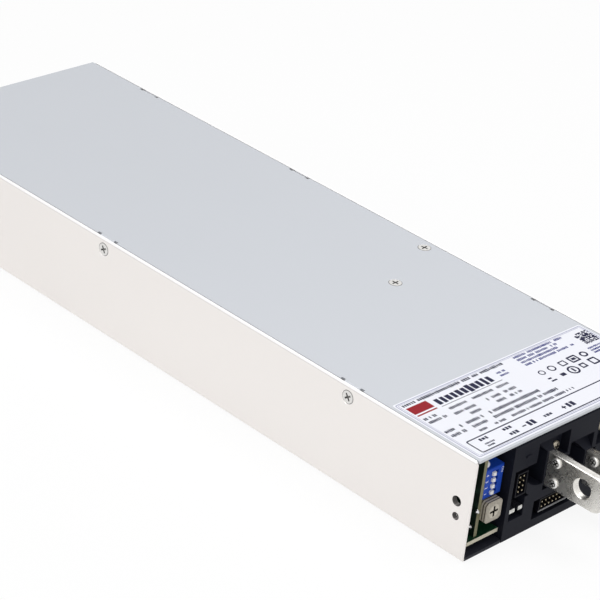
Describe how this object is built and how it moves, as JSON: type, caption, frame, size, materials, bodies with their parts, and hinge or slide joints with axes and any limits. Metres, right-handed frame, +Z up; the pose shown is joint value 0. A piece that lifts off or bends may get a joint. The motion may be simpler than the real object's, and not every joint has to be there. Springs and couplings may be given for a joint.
{
  "type": "enclosed switching power supply",
  "caption": "Low enclosed power supply with a sheet metal case, output tabs, signal headers, a switch block and fans at its input end.",
  "frame": {"origin": "centre of the case's underside, without the tabs that stand out of the output end", "axes": "+X along the case towards the output end, +Y from the side with the switch block to the far side, +Z up"},
  "size_m": [0.352, 0.107, 0.0411],
  "materials": {
    "case_steel": "satin zinc-plated sheet",
    "cover_steel": "satin zinc-plated sheet",
    "label_film": "white printed film",
    "screw_steel": "nickel-plated",
    "black_film": "matte black film",
    "board": "green solder mask",
    "switch_blue": "moulded",
    "white_plastic": "moulded",
    "trimmer_shell": "moulded",
    "rotor_metal": "plain",
    "black_moulding": "fine grain",
    "tinned_copper": "bright tin",
    "bare_copper": "plain",
    "header_black": "moulded",
    "gold_pins": "gold flash",
    "lamp_clear": "clear epoxy",
    "fan_plastic": "moulded",
    "capacitor_sleeve": "shrunk sleeve",
    "ferrite": "ground",
    "coil_tape": "yellow tape",
    "wound_copper": "enamelled wire",
    "sink_aluminium": "extruded",
    "device_black": "moulded",
    "film_box": "moulded",
    "fuse_ceramic": "ceramic"
  },
  "bodies": {
    "supply": {"chassis": "case_steel", "top_cover": "cover_steel", "rating_label": "label_film", "side_screws": "screw_steel", "top_screws": "screw_steel", "bottom_film": "black_film", "main_board": "board", "board_standoffs": "screw_steel", "board_screws": "screw_steel", "control_board": "board", "signal_board": "board", "dip_switch_body": "switch_blue", "trimmer_body": "trimmer_shell", "board_lamp": "lamp_clear", "terminal_housing": "black_moulding", "negative_tab": "tinned_copper", "positive_tab": "tinned_copper", "negative_bus_bar": "bare_copper", "positive_bus_bar": "bare_copper", "tab_screws": "screw_steel", "well_screws": "screw_steel", "signal_header": "header_black", "signal_pins": "gold_pins", "control_header": "header_black", "control_pins": "gold_pins", "status_lenses": "lamp_clear", "fan_frame_1": "fan_plastic", "fan_frame_2": "fan_plastic", "fan_screws": "screw_steel", "input_block": "header_black", "input_clamps": "screw_steel", "input_screws": "screw_steel", "bulk_capacitors": "capacitor_sleeve", "output_capacitors": "capacitor_sleeve", "transformer_cores": "ferrite", "transformer_windings": "coil_tape", "secondary_heatsink": "sink_aluminium", "edge_heatsink": "sink_aluminium", "primary_heatsink": "sink_aluminium", "power_transistors": "device_black", "output_choke": "wound_copper", "boost_choke": "wound_copper", "line_filter_choke": "wound_copper", "film_capacitors": "film_box", "inrush_relay": "device_black", "input_fuse": "fuse_ceramic"},
    "dip_slider_1_body": {"dip_slider_1": "white_plastic"},
    "dip_slider_2_body": {"dip_slider_2": "white_plastic"},
    "dip_slider_3_body": {"dip_slider_3": "white_plastic"},
    "dip_slider_4_body": {"dip_slider_4": "white_plastic"},
    "trimmer_rotor_body": {"trimmer_rotor": "rotor_metal"},
    "fan_rotor_1_body": {"fan_rotor_1": "fan_plastic"},
    "fan_rotor_2_body": {"fan_rotor_2": "fan_plastic"}
  },
  "joints": [
    {"name": "slider_1_throw", "type": "slide", "parent": "supply", "child": "dip_slider_1_body", "axis": [0, 1, 0], "range_m": [0, 0.0018]},
    {"name": "slider_2_throw", "type": "slide", "parent": "supply", "child": "dip_slider_2_body", "axis": [0, 1, 0], "range_m": [0, 0.0018]},
    {"name": "slider_3_throw", "type": "slide", "parent": "supply", "child": "dip_slider_3_body", "axis": [0, 1, 0], "range_m": [0, 0.0018]},
    {"name": "slider_4_throw", "type": "slide", "parent": "supply", "child": "dip_slider_4_body", "axis": [0, 1, 0], "range_m": [0, 0.0018]},
    {"name": "trimmer_turn", "type": "hinge", "parent": "supply", "child": "trimmer_rotor_body", "pos_m": [0.1617, -0.0394, 0.01579], "axis": [1, 0, 0], "range_deg": [-130, 130]},
    {"name": "fan_1_spin", "type": "hinge", "parent": "supply", "child": "fan_rotor_1_body", "pos_m": [-0.1478, -0.0073, 0.0203], "axis": [1, 0, 0], "continuous": true},
    {"name": "fan_2_spin", "type": "hinge", "parent": "supply", "child": "fan_rotor_2_body", "pos_m": [-0.1478, 0.0313, 0.0203], "axis": [1, 0, 0], "continuous": true}
  ]
}
